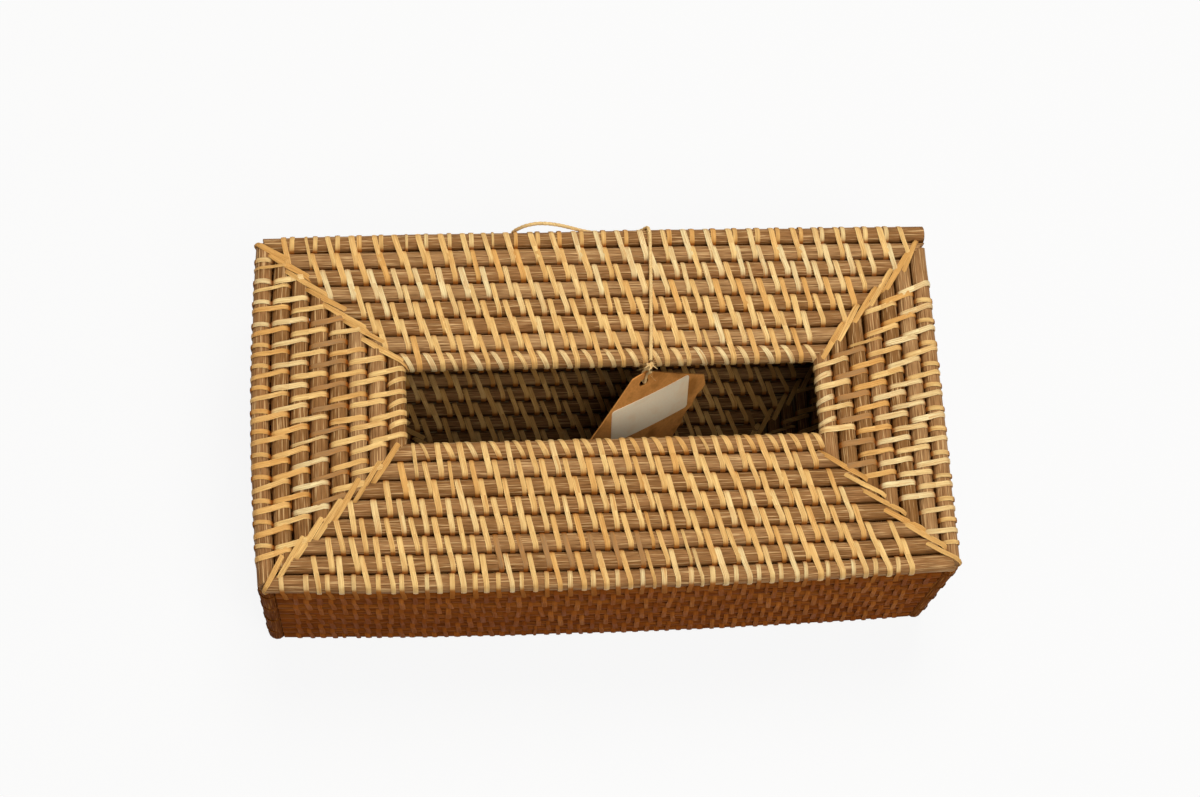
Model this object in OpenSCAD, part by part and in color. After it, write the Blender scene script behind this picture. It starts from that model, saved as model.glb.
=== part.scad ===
// Tissue box cover of laced rattan core canes: a rectangular cover with a long
// slot, a woven base panel that it stands over, and a bare card tag on a string.
// Millimetres, +Z up, long side along X, front towards -Y, resting on Z = 0.

/* [Cover] */
// Length of the slot, between the lacing of its rims
slot_l = 167.9; // [150:0.1:176]
// Width of the slot, between the lacing of its rims
slot_w = 31.5; // [26:0.5:36]
// Diameter of a core cane
cane_d = 6.3; // [5.5:0.1:6.4]
// Distance from one cane to the next on the top
cane_pitch = 7.5; // [7.5:0.1:8]
// Canes between the slot and the front edge, and as many at the rear
rows_long = 8; // [6:1:9]
// Canes between the slot and the right edge; the left side has one more
rows_right = 7; // [5:1:8]
// Height of the cover over the surface
cover_h = 77; // [70:1:90]
// Canes in each wall, under the edge cane of the top
wall_rows = 9; // [8:1:9]

/* [Lacing] */
// Thickness of a peel strip
strip_t = 0.35; // [0.3:0.05:0.35]
// Width of a peel strip
strip_w = 2.6; // [2:0.1:2.8]
// Distance from one stitch to the next along a pair of canes
stitch_pitch = 9.6; // [9:0.1:12]
// The same on the walls and the base, where every second stitch is drawn
wall_stitch_pitch = 19.2; // [18:0.2:24]
// Share of the pitch by which the next pair's stitches move on
shift_share = 0.5; // [0.4:0.01:0.6]
// Share of the pitch between a top stitch and a wall stitch on an edge cane
edge_share = 0.37; // [0.32:0.01:0.6]
// Clearance between a strip and the cane that it goes round
strip_gap = 0.15; // [0.1:0.05:0.2]

/* [Base] */
// Canes on each side of the base panel
base_rows = 10; // [8:1:10]
// Diameter of a base cane
base_cane_d = 5.5; // [5:0.1:5.5]
// Clearance all round between the base panel and the walls' lacing
base_gap = 0.75; // [0.5:0.05:2]

/* [Tag] */
// Width of the card
card_w = 48; // [30:1:50]
// Height of the card
card_h = 45; // [30:1:46]
// Thickness of the card
card_t = 0.6; // [0.4:0.1:0.8]
// Width of the blank sticker
sticker_w = 38; // [30:1:40]
// Height of the blank sticker
sticker_h = 20; // [12:1:22]
// Diameter of the string
string_d = 1.6; // [1:0.1:1.8]
// Diameter of the thinner tie that holds the card
tie_d = 0.9; // [0.8:0.1:1.1]

/* [Hidden] */
$fn = 48;
cane_r = cane_d / 2;
hug = strip_gap + strip_t;
edge_in = cane_r + hug;
rows_left = rows_right + 1;
cover_l = slot_l + 4 * edge_in + (rows_left + rows_right - 2) * cane_pitch;
cover_w = slot_w + 4 * edge_in + 2 * (rows_long - 1) * cane_pitch;
slot_x = cane_pitch / 2;
slot_left = slot_x - slot_l / 2;
slot_right = slot_x + slot_l / 2;
slot_half = slot_w / 2;
top_z = cover_h - edge_in;
wall_pitch = (top_z - edge_in) / wall_rows;
post_x = cover_l / 2 - edge_in;
post_y = cover_w / 2 - edge_in;
mitre_gap = 0.3;
// At the front right the mitre starts one row further out, where the first row ends
// against the first column
front_step = cane_pitch;
post_gap = 0.2;
end_gap = hug + 0.25;
over = 1;
slab = 20;
top_shift = shift_share * stitch_pitch;
wall_shift = shift_share * wall_stitch_pitch;
edge_shift = edge_share * stitch_pitch;

// Length of a pair's lacing that stays clear of the mitre strips
mitre_free = 7.5;
post_free = 3.7;
mitre_strip_w = 3;
mitre_strip_gap = 0.3;
mitre_strip_rows = 2;

// Wraps round each corner post, and the share of the post's height below the first
post_wraps = 4;
post_wrap_share = 0.12;

// Base panel
base_r = base_cane_d / 2;
base_edge = base_r + hug;
base_half_y = cover_w / 2 - 2 * edge_in - base_gap;
base_half_x = cover_l / 2 - 2 * edge_in - base_gap;
base_pitch = (base_half_y - base_edge) / (base_rows - 0.5);
base_in_x = base_half_x - base_edge - (base_rows - 0.5) * base_pitch;
base_z = base_edge;

// Tag: the card hangs by its hole from a knot at the slot's rear rim, turned and
// tilted in the slot; the knot sits on the rim's inner shoulder
knot_x = 19.6;
knot_in = 1.25;
knot_drop = 0.4;
knot_r = 1.9;
knot_at = [knot_x, slot_half - knot_in, cover_h - knot_drop];
hole_left = 1.8;
hole_ahead = 2.7;
hole_below = 11.8;
hole_at = knot_at - [hole_left, hole_ahead, hole_below];
card_turn = [71, 8.2, 27.5];
card_angle = -35.5;
card_clip = 5;
hole_d = 4.5;
corner_left = 2.6;
corner_up = 8.9;
sticker_left = 14.8;
sticker_down = 30.4;
sticker_t = 0.2;
sticker_round = 1.5;
string_r = string_d / 2;
tie_r = tie_d / 2;
tube_sides = 8;
route_steps = 3;

// String: from the knot over the rear canes, down behind them, and up in a slack bend
string_route = [
  [19.8, 16.2, 78.0], [20.0, 19.6, 78.6], [20.4, 25, 78.1], [20.9, 32, 78.0], [21.3, 40, 78.1],
  [21.8, 48, 78.0], [22.2, 56, 78.1], [22.5, 63, 78.0], [22.7, 68, 78.1], [22.8, 71.6, 78.3],
  [22.6, 74.7, 77.7], [22.1, 76.7, 75.5], [20.2, 77.0, 72], [16.6, 76.9, 69.8], [11.5, 76.9, 69.2],
  [5.8, 76.9, 69.5], [0.3, 77.0, 70.6], [-5, 77.1, 72.8], [-10, 77.2, 75.7], [-15, 77.2, 78.5],
  [-19.8, 77.2, 80.2], [-24.4, 77.2, 80.4], [-28.6, 77.1, 78.8], [-31.4, 77.2, 76.0],
  [-33.2, 77.3, 73.2], [-34.4, 76.6, 71.0], [-35.1, 74.9, 69.2]
];
// Tie, in the card's own frame: from the knot down the front of the card,
// through its hole and up behind it
tie_route = [
  [0.8, 9.4, 3.6], [0.7, 7.6, 2.4], [0.5, 5.6, 1.4], [0.3, 3.8, 1.1], [0.1, 2.2, 1.1],
  [0, 0.6, 0.9], [0, 0, 0], [0, 0.6, -0.9], [0.1, 2.2, -1.1], [0.3, 4.0, -1.1],
  [0.5, 5.8, -1.2], [0.7, 7.5, -0.8], [0.8, 9.2, 1.3]
];

// Places of the canes
function row_y(k) = slot_half + edge_in + k * cane_pitch;
function col_left(k) = slot_left - edge_in - k * cane_pitch;
function col_right(k) = slot_right + edge_in + k * cane_pitch;
function wall_z(k) = top_z - k * wall_pitch;
function base_y(k) = (k + 0.5) * base_pitch;
function base_x(k) = base_in_x + (k + 0.5) * base_pitch;
// The first stitch of a run at or after its start, for a given phase
function first_in(start, phase, pitch) = phase + ceil((start - phase) / pitch) * pitch;

// A cane along X, from x0 to x1
module cane_x(x0, x1, y, z, r) {
  translate([x0, y, z])
    rotate([0, 90, 0])
      cylinder(r = r, h = x1 - x0);
}

// A cane along Y, from y0 to y1
module cane_y(y0, y1, x, z, r) {
  translate([x, y0, z])
    rotate([-90, 0, 0])
      cylinder(r = r, h = y1 - y0);
}

// The outline of a strip round two canes, span apart, lying along X
module round_two(span, r) {
  difference() {
    union() {
      square([span, 2 * (r + hug)], center = true);
      for (s = [-1, 1])
        translate([s * span / 2, 0])
          circle(r = r + hug);
    }
    square([span, 2 * (r + strip_gap)], center = true);
    for (s = [-1, 1])
      translate([s * span / 2, 0])
        circle(r = r + strip_gap);
  }
}

// A stitch round two canes that run along X and lie side by side in Y
module stitch_flat(span, r) {
  rotate([90, 0, 90])
    linear_extrude(height = strip_w, center = true)
      round_two(span, r);
}

// A stitch round two canes that run along X, one over the other
module stitch_tall(span, r) {
  rotate([90, 90, 90])
    linear_extrude(height = strip_w, center = true)
      round_two(span, r);
}

// A strip round one cane that runs along X
module wrap_x(r) {
  rotate([0, 90, 0])
    difference() {
      cylinder(r = r + hug, h = strip_w, center = true);
      cylinder(r = r + strip_gap, h = strip_w + over, center = true);
    }
}

// One row of stitches along X, from x0 to x1
module stitch_row(x0, x1, phase, pitch) {
  x_first = first_in(x0, phase, pitch);
  for (x = [x_first : pitch : x1])
    translate([x, 0, 0])
      children();
}

// Region of the top that belongs to the canes of one long side, seen from above; step
// is how much further out its right mitre starts
module long_region(gap, step) {
  reach = rows_long * cane_pitch + edge_in;
  turn = (rows_right - 0.5) * cane_pitch + edge_in;
  polygon([
    [slot_left + gap, -slot_half],
    for (y = step > 0 ? [0, step] : [0])
      [slot_right - gap, -slot_half - y],
    [slot_right + turn - gap, -slot_half - step - turn],
    [cover_l / 2 - hug, -slot_half - step - turn],
    [cover_l / 2 - hug, -slot_half - reach],
    [slot_left - reach + gap, -slot_half - reach]
  ]);
}

module top_long_set(step) {
  intersection() {
    union() {
      for (k = [0 : rows_long - 1])
        cane_x(-cover_l / 2, cover_l / 2, -row_y(k), top_z, cane_r);
    }
    translate([0, 0, top_z - slab / 2])
      linear_extrude(height = slab)
        long_region(mitre_gap / 2, step);
  }
}

module top_front_canes() {
  color([0.42, 0.29, 0.17])
    top_long_set(front_step);
}

module top_rear_canes() {
  color([0.44, 0.30, 0.18])
    mirror([0, 1, 0])
      top_long_set(0);
}

module top_left_canes() {
  reach = rows_left * cane_pitch + edge_in;
  color([0.40, 0.27, 0.16])
    intersection() {
      union() {
        for (k = [0 : rows_left - 1])
          cane_y(-cover_w / 2, cover_w / 2, col_left(k), top_z, cane_r);
      }
      translate([0, 0, top_z - slab / 2])
        linear_extrude(height = slab)
          polygon([
            [slot_left, -slot_half + mitre_gap / 2],
            [slot_left, slot_half - mitre_gap / 2],
            [slot_left - reach, slot_half + reach - mitre_gap / 2],
            [slot_left - reach, -slot_half - reach + mitre_gap / 2]
          ]);
    }
}

module top_right_canes() {
  reach = (rows_right - 0.5) * cane_pitch + edge_in;
  color([0.41, 0.28, 0.165])
    intersection() {
      union() {
        for (k = [0 : rows_right - 1])
          cane_y(-cover_w / 2, cover_w / 2, col_right(k), top_z, cane_r);
      }
      translate([0, 0, top_z - slab / 2])
        linear_extrude(height = slab)
          polygon([
            [slot_right, -slot_half - front_step + mitre_gap / 2],
            [slot_right, slot_half - mitre_gap / 2],
            [slot_right + reach, slot_half + reach - mitre_gap / 2],
            [slot_right + reach, -slot_half - front_step - reach + mitre_gap / 2]
          ]);
    }
}

// Wall canes run between the corner posts
module long_wall(y) {
  reach = post_x - cane_r - end_gap;
  for (k = [1 : wall_rows])
    cane_x(-reach, reach, y, wall_z(k), cane_r);
}

module short_wall(x) {
  reach = post_y - cane_r - end_gap;
  for (k = [1 : wall_rows])
    cane_y(-reach, reach, x, wall_z(k), cane_r);
}

module front_wall_canes() {
  color([0.36, 0.22, 0.12])
    long_wall(-post_y);
}

module rear_wall_canes() {
  color([0.36, 0.22, 0.12])
    long_wall(post_y);
}

module left_wall_canes() {
  color([0.34, 0.21, 0.12])
    short_wall(-post_x);
}

module right_wall_canes() {
  color([0.34, 0.21, 0.12])
    short_wall(post_x);
}

// Corner posts stand on the surface and end under the edge canes
module post(sx, sy) {
  color([0.38, 0.25, 0.15])
    translate([sx * post_x, sy * post_y, 0])
      cylinder(r = cane_r, h = top_z - cane_r - post_gap);
}

module post_front_left() {
  post(-1, -1);
}

module post_front_right() {
  post(1, -1);
}

module post_rear_left() {
  post(-1, 1);
}

module post_rear_right() {
  post(1, 1);
}

// Lacing of the top: one row of stitches round each two neighbouring canes; step is how
// much further out the mitre starts at the front right
module top_long_rows(side, way, step) {
  color([0.80, 0.58, 0.28])
    for (k = [0 : rows_long - 2])
      let (free = edge_in + k * cane_pitch - mitre_free)
        translate([0, side * (row_y(k) + cane_pitch / 2), top_z])
          stitch_row(slot_left - free, slot_right + free - step, way * k * top_shift, stitch_pitch)
            stitch_flat(cane_pitch, cane_r);
}

module top_short_rows(rows, x_near, out, way, step) {
  color([0.80, 0.58, 0.28])
    for (k = [0 : rows - 2])
      let (free = slot_half + edge_in + k * cane_pitch - mitre_free)
        translate([x_near + out * (edge_in + (k + 0.5) * cane_pitch), 0, top_z])
          rotate([0, 0, 90])
            stitch_row(-free - step, free, way * k * top_shift, stitch_pitch)
              stitch_flat(cane_pitch, cane_r);
}

module top_front_lacing() {
  top_long_rows(-1, 1, front_step);
}

module top_rear_lacing() {
  top_long_rows(1, -1, 0);
}

module top_left_lacing() {
  top_short_rows(rows_left, slot_left, -1, 1, 0);
}

module top_right_lacing() {
  top_short_rows(rows_right, slot_right, 1, -1, front_step);
}

// Lacing of the walls; the first row also holds the edge cane of the top
module wall_rows_x(side, way, top_phase) {
  free = post_x - cane_r - end_gap - post_free;
  color([0.62, 0.38, 0.18])
    for (k = [0 : wall_rows - 1])
      translate([0, side * post_y, (wall_z(k) + wall_z(k + 1)) / 2])
        stitch_row(-free, free, top_phase + edge_shift + way * k * wall_shift, wall_stitch_pitch)
          stitch_tall(wall_pitch, cane_r);
}

// On a short wall the first row also stays clear of the mitre strips
module wall_rows_y(side, way, rows, top_phase, step) {
  free = post_y - cane_r - end_gap - post_free;
  top_free = slot_half + edge_in + (rows - 1) * cane_pitch - mitre_free;
  color([0.62, 0.38, 0.18])
    for (k = [0 : wall_rows - 1])
      let (front = k == 0 ? min(free, top_free + step) : free)
      let (rear = k == 0 ? min(free, top_free) : free)
        translate([side * post_x, 0, (wall_z(k) + wall_z(k + 1)) / 2])
          rotate([0, 0, 90])
            stitch_row(-front, rear, top_phase + edge_shift + way * k * wall_shift, wall_stitch_pitch)
              stitch_tall(wall_pitch, cane_r);
}

module front_wall_lacing() {
  wall_rows_x(-1, 1, (rows_long - 2) * top_shift);
}

module rear_wall_lacing() {
  wall_rows_x(1, -1, -(rows_long - 2) * top_shift);
}

module left_wall_lacing() {
  wall_rows_y(-1, 1, rows_left, (rows_left - 2) * top_shift, 0);
}

module right_wall_lacing() {
  wall_rows_y(1, -1, rows_right, -(rows_right - 2) * top_shift, front_step);
}

// Short wraps round the slot's rim canes, half way between the long stitches
module slot_rim_wraps() {
  color([0.84, 0.62, 0.30]) {
    free_x = edge_in - mitre_free;
    free_y = slot_half + edge_in - mitre_free;
    for (side = [-1, 1])
      translate([0, side * row_y(0), top_z])
        stitch_row(slot_left - free_x, slot_right + free_x, stitch_pitch / 2, stitch_pitch)
          wrap_x(cane_r);
    for (x = [col_left(0), col_right(0)])
      translate([x, 0, top_z])
        rotate([0, 0, 90])
          stitch_row(-free_y, free_y, stitch_pitch / 2, stitch_pitch)
            wrap_x(cane_r);
  }
}

// Short wraps round the lowest wall canes, half way between the long stitches
module foot_wraps() {
  last = wall_rows - 1;
  free_x = post_x - cane_r - end_gap - post_free;
  free_y = post_y - cane_r - end_gap - post_free;
  phase = edge_shift + wall_stitch_pitch / 2;
  color([0.62, 0.38, 0.18]) {
    for (side = [-1, 1])
      translate([0, side * post_y, wall_z(wall_rows)])
        stitch_row(-free_x, free_x, phase - side * ((rows_long - 2) * top_shift + last * wall_shift), wall_stitch_pitch)
          wrap_x(cane_r);
    translate([-post_x, 0, wall_z(wall_rows)])
      rotate([0, 0, 90])
        stitch_row(-free_y, free_y, phase + (rows_left - 2) * top_shift + last * wall_shift, wall_stitch_pitch)
          wrap_x(cane_r);
    translate([post_x, 0, wall_z(wall_rows)])
      rotate([0, 0, 90])
        stitch_row(-free_y, free_y, phase - (rows_right - 2) * top_shift - last * wall_shift, wall_stitch_pitch)
          wrap_x(cane_r);
  }
}

// Wraps round the corner posts, in the gap between post and wall canes
module post_wrap_set(side) {
  step = (top_z - edge_in) * (1 - 2 * post_wrap_share) / (post_wraps - 1);
  color([0.70, 0.47, 0.22])
    for (sx = [-1, 1])
      for (k = [0 : post_wraps - 1])
        translate([sx * post_x, side * post_y, edge_in + (top_z - edge_in) * post_wrap_share + k * step])
          rotate([0, 90, 0])
            wrap_x(cane_r);
}

module post_wraps_front() {
  post_wrap_set(-1);
}

module post_wraps_rear() {
  post_wrap_set(1);
}

// Two lanes of flat strips along a mitre, from the slot's corner outwards; they
// end over the axis of the outermost cane
module mitre_lanes(rows, pitch, edge, first) {
  step = pitch * sqrt(2);
  long = mitre_strip_rows * step - mitre_strip_gap;
  stop = (edge + (rows - 1) * pitch) * sqrt(2);
  lane = (mitre_strip_w + mitre_strip_gap) / 2;
  for (s = [0, 1])
    for (k = [0 : mitre_strip_rows : rows - 1])
      let (from = first + (k + s) * step)
        if (stop - from > mitre_strip_w)
          translate([from, (2 * s - 1) * lane - mitre_strip_w / 2, 0])
            cube([min(long, stop - from), mitre_strip_w, strip_t]);
}

module top_mitre_strips() {
  color([0.84, 0.63, 0.32])
    for (sy = [-1, 1]) {
      translate([slot_left, sy * slot_half, top_z + cane_r + strip_gap])
        rotate([0, 0, sy * 135])
          mitre_lanes(rows_left, cane_pitch, edge_in, strip_w / 2);
      translate([slot_right, sy * slot_half - (sy < 0 ? front_step : 0), top_z + cane_r + strip_gap])
        rotate([0, 0, sy * 45])
          mitre_lanes(rows_right, cane_pitch, edge_in, strip_w / 2);
    }
}

// Base panel: canes in nested rectangles, mitred on four lines that meet in pairs
module base_front_set() {
  reach = base_rows * base_pitch;
  intersection() {
    union() {
      for (k = [0 : base_rows - 1])
        cane_x(-base_half_x, base_half_x, -base_y(k), base_z, base_r);
    }
    linear_extrude(height = slab)
      polygon([
        [-base_in_x + mitre_gap / 2, 0],
        [base_in_x - mitre_gap / 2, 0],
        [base_in_x + reach - mitre_gap / 2, -reach],
        [-base_in_x - reach + mitre_gap / 2, -reach]
      ]);
  }
}

module base_right_set() {
  reach = base_rows * base_pitch;
  intersection() {
    union() {
      for (k = [0 : base_rows - 1])
        cane_y(-base_half_y, base_half_y, base_x(k), base_z, base_r);
    }
    linear_extrude(height = slab)
      polygon([
        [base_in_x + mitre_gap / 2, 0],
        [base_in_x + reach + mitre_gap / 2, reach],
        [base_in_x + reach + mitre_gap / 2, -reach]
      ]);
  }
}

module base_front_canes() {
  color([0.33, 0.21, 0.12])
    base_front_set();
}

module base_rear_canes() {
  color([0.33, 0.21, 0.12])
    mirror([0, 1, 0])
      base_front_set();
}

module base_right_canes() {
  color([0.31, 0.20, 0.11])
    base_right_set();
}

module base_left_canes() {
  color([0.31, 0.20, 0.11])
    mirror([1, 0, 0])
      base_right_set();
}

// The first long pair bridges the two middle canes of the base
module base_long_rows(side, way) {
  color([0.72, 0.50, 0.24])
    for (k = [0 : base_rows - 2])
      let (free = base_x(k) - mitre_free)
        translate([0, side * (base_y(k) + base_pitch / 2), base_z])
          stitch_row(-free, free, way * (k + 1) * wall_shift, wall_stitch_pitch)
            stitch_flat(base_pitch, base_r);
}

module base_short_rows(side, way) {
  color([0.72, 0.50, 0.24])
    for (k = [0 : base_rows - 2])
      let (free = base_y(k) - mitre_free)
        translate([side * (base_x(k) + base_pitch / 2), 0, base_z])
          rotate([0, 0, 90])
            stitch_row(-free, free, way * k * wall_shift, wall_stitch_pitch)
              stitch_flat(base_pitch, base_r);
}

module base_front_lacing() {
  base_long_rows(-1, 1);
  color([0.72, 0.50, 0.24])
    translate([0, 0, base_z])
      stitch_row(mitre_free - base_x(0), base_x(0) - mitre_free, 0, wall_stitch_pitch)
        stitch_flat(base_pitch, base_r);
}

module base_rear_lacing() {
  base_long_rows(1, -1);
}

module base_left_lacing() {
  base_short_rows(-1, 1);
}

module base_right_lacing() {
  base_short_rows(1, -1);
}

module base_mitre_strips() {
  color([0.72, 0.50, 0.24])
    for (sx = [0, 1])
      mirror([sx, 0, 0])
        for (sy = [-1, 1])
          translate([base_in_x, 0, base_z + base_r + strip_gap])
            rotate([0, 0, sy * 45])
              mitre_lanes(base_rows, base_pitch, base_pitch / 2, 2 * strip_w);
}

// Tag: a card with clipped corners that hangs by one of them
module in_card() {
  translate(hole_at)
    rotate(card_turn)
      children();
}

module tag_card() {
  color([0.55, 0.36, 0.19])
    in_card()
      difference() {
        translate([-corner_left, corner_up, -card_t / 2])
          rotate([0, 0, card_angle])
            linear_extrude(height = card_t)
              polygon([
                [card_clip, 0],
                [card_w - card_clip, 0],
                [card_w, -card_clip],
                [card_w, card_clip - card_h],
                [card_w - card_clip, -card_h],
                [card_clip, -card_h],
                [0, card_clip - card_h],
                [0, -card_clip]
              ]);
        cylinder(r = hole_d / 2, h = card_t + over, center = true);
      }
}

module tag_sticker() {
  color([0.82, 0.80, 0.76])
    in_card()
      translate([-sticker_left, -sticker_down, card_t / 2])
        linear_extrude(height = sticker_t)
          union() {
            translate([sticker_round, 0])
              square([sticker_w - 2 * sticker_round, sticker_h]);
            translate([0, sticker_round])
              square([sticker_w, sticker_h - 2 * sticker_round]);
            for (x = [sticker_round, sticker_w - sticker_round])
              for (y = [sticker_round, sticker_h - sticker_round])
                translate([x, y])
                  circle(r = sticker_round);
          }
}

// A point between p1 and p2 on the smooth curve through p0, p1, p2 and p3
function curve_at(p0, p1, p2, p3, t) =
  p1 + (p2 - p0) * t / 2 + (2 * p0 - 5 * p1 + 4 * p2 - p3) * t * t / 2
  + (3 * p1 - p0 - 3 * p2 + p3) * t * t * t / 2;
function smooth(route, steps) = [
  for (i = [0 : len(route) - 2])
    for (s = [0 : steps - 1])
      curve_at(route[max(i - 1, 0)], route[i], route[i + 1], route[min(i + 2, len(route) - 1)], s / steps),
  route[len(route) - 1]
];
function unit(v) = v / norm(v);
function heading(p, i) = unit(p[min(i + 1, len(p) - 1)] - p[max(i - 1, 0)]);
// The side direction is carried along the curve, so that the rings do not twist
function carried(side, t) = unit(side - t * (side * t));
function sides_along(p, i, side, out) =
  i == len(p) ? out
  : let (now = carried(side, heading(p, i))) sides_along(p, i + 1, now, concat(out, [now]));

module tube(route, steps, r, start_side) {
  p = smooth(route, steps);
  side = sides_along(p, 0, start_side, []);
  n = tube_sides;
  rings = [
    for (i = [0 : len(p) - 1])
      let (up = cross(heading(p, i), side[i]))
        for (a = [0 : n - 1])
          p[i] + r * (cos(360 * a / n) * side[i] + sin(360 * a / n) * up)
  ];
  last = (len(p) - 1) * n;
  skin = [
    for (i = [0 : len(p) - 2])
      for (a = [0 : n - 1])
        for (f = [0, 1])
          let (b = (a + 1) % n)
            f == 0
              ? [i * n + a, i * n + b, (i + 1) * n + a]
              : [i * n + b, (i + 1) * n + b, (i + 1) * n + a]
  ];
  near_cap = [for (a = [1 : n - 2]) [0, a + 1, a]];
  far_cap = [for (a = [1 : n - 2]) [last, last + a, last + a + 1]];
  polyhedron(points = rings, faces = concat(skin, near_cap, far_cap), convexity = 6);
}

module tag_tie() {
  color([0.85, 0.78, 0.62])
    in_card()
      tube(tie_route, route_steps, tie_r, [1, 0, 0]);
}

module string_knot() {
  color([0.86, 0.80, 0.64])
    translate(knot_at)
      sphere(r = knot_r);
}

module tag_string() {
  color([0.85, 0.78, 0.62])
    tube(string_route, route_steps, string_r, [1, 0, 0]);
}

top_front_canes();
top_rear_canes();
top_left_canes();
top_right_canes();
front_wall_canes();
rear_wall_canes();
left_wall_canes();
right_wall_canes();
post_front_left();
post_front_right();
post_rear_left();
post_rear_right();
top_front_lacing();
top_rear_lacing();
top_left_lacing();
top_right_lacing();
front_wall_lacing();
rear_wall_lacing();
left_wall_lacing();
right_wall_lacing();
slot_rim_wraps();
foot_wraps();
post_wraps_front();
post_wraps_rear();
top_mitre_strips();
base_front_canes();
base_rear_canes();
base_left_canes();
base_right_canes();
base_front_lacing();
base_rear_lacing();
base_left_lacing();
base_right_lacing();
base_mitre_strips();
tag_card();
tag_sticker();
tag_tie();
string_knot();
tag_string();
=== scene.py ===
import math

import bmesh
import bpy
import numpy as np
from mathutils import Matrix, Vector


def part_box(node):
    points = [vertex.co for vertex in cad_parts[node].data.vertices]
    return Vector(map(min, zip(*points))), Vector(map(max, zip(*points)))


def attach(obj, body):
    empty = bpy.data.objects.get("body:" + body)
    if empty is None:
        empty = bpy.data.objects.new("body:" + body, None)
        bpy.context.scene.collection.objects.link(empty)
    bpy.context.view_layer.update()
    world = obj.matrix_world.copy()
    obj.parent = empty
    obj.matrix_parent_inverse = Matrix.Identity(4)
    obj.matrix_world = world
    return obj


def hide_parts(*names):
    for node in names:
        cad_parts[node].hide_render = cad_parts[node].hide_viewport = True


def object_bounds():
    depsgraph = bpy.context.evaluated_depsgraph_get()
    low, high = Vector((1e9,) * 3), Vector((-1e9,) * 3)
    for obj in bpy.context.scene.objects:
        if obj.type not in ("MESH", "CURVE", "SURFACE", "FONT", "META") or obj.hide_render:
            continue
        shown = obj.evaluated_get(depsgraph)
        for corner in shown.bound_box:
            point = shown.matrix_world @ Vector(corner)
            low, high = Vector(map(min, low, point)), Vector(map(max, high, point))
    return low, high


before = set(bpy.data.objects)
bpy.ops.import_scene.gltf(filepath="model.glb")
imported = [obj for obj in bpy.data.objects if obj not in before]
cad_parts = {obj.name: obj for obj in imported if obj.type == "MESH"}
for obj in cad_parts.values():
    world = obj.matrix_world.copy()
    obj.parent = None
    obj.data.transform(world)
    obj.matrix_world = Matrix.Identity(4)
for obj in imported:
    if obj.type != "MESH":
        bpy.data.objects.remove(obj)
cad_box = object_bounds()
bpy.ops.object.select_all(action="DESELECT")
MM = 0.001
rng = np.random.default_rng(5)

# Camera: placed by the outline of the cover, with the optical axis at the middle of the picture
CAMERA_AT, CAMERA_TURN, CAMERA_LENS = (-0.0844, -0.3091, 0.9283), (20.17, -4.41, -3.11), 67.23
bpy.ops.object.camera_add(location=CAMERA_AT, rotation=[math.radians(a) for a in CAMERA_TURN])
camera = bpy.context.object
camera.name = "camera"
camera.data.sensor_fit = "HORIZONTAL"
camera.data.sensor_width = 36
camera.data.lens = CAMERA_LENS
camera.data.clip_start = 0.05
camera.data.clip_end = 20
bpy.context.scene.camera = camera
bpy.context.scene.view_settings.view_transform = "Standard"

# String: out of the knot, over the rear rows, down behind them, and up in a slack bend
STRING_D = 1.6 * MM
STRING_ROUTE_MM = [
    (19.8, 16.2, 78.0), (20.0, 19.6, 78.6), (20.4, 25, 78.1), (20.9, 32, 78.0), (21.3, 40, 78.1),
    (21.8, 48, 78.0), (22.2, 56, 78.1), (22.5, 63, 78.0), (22.7, 68, 78.1), (22.8, 71.6, 78.3),
    (22.6, 74.7, 77.7), (22.1, 76.7, 75.5), (20.2, 77.0, 72), (16.6, 76.9, 69.8), (11.5, 76.9, 69.2),
    (5.8, 76.9, 69.5), (0.3, 77.0, 70.6), (-5, 77.1, 72.8), (-10, 77.2, 75.7), (-15, 77.2, 78.5),
    (-19.8, 77.2, 80.2), (-24.4, 77.2, 80.4), (-28.6, 77.1, 78.8), (-31.4, 77.2, 76.0),
    (-33.2, 77.3, 73.2), (-34.4, 76.6, 71.0), (-35.1, 74.9, 69.2),
]
# Tie, in the card's own frame: down the front of the card, through its hole and up behind it
TIE_D = 1.2 * MM
TIE_ROUTE_MM = [
    (0.8, 9.4, 3.6), (0.7, 7.6, 2.4), (0.5, 5.6, 1.4), (0.3, 3.8, 1.1), (0.1, 2.2, 1.1),
    (0, 0.6, 0.9), (0, 0, 0), (0, 0.6, -0.9), (0.1, 2.2, -1.1), (0.3, 4.0, -1.1),
    (0.5, 5.6, -1.0), (0.7, 7.4, 0.2), (0.8, 9.2, 1.8),
]


def smooth_line(route, steps):
    """Points along the smooth curve through a route, steps of them for each stretch."""
    p = np.array(route, dtype=float)
    out = []
    for i in range(len(p) - 1):
        a, b, c, d = p[max(i - 1, 0)], p[i], p[i + 1], p[min(i + 2, len(p) - 1)]
        for t in np.arange(steps) / steps:
            out.append(b + (c - a) * t / 2 + (2 * a - 5 * b + 4 * c - d) * t**2 / 2
                       + (3 * b - a - 3 * c + d) * t**3 / 2)
    out.append(p[-1])
    return np.array(out)


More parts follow.
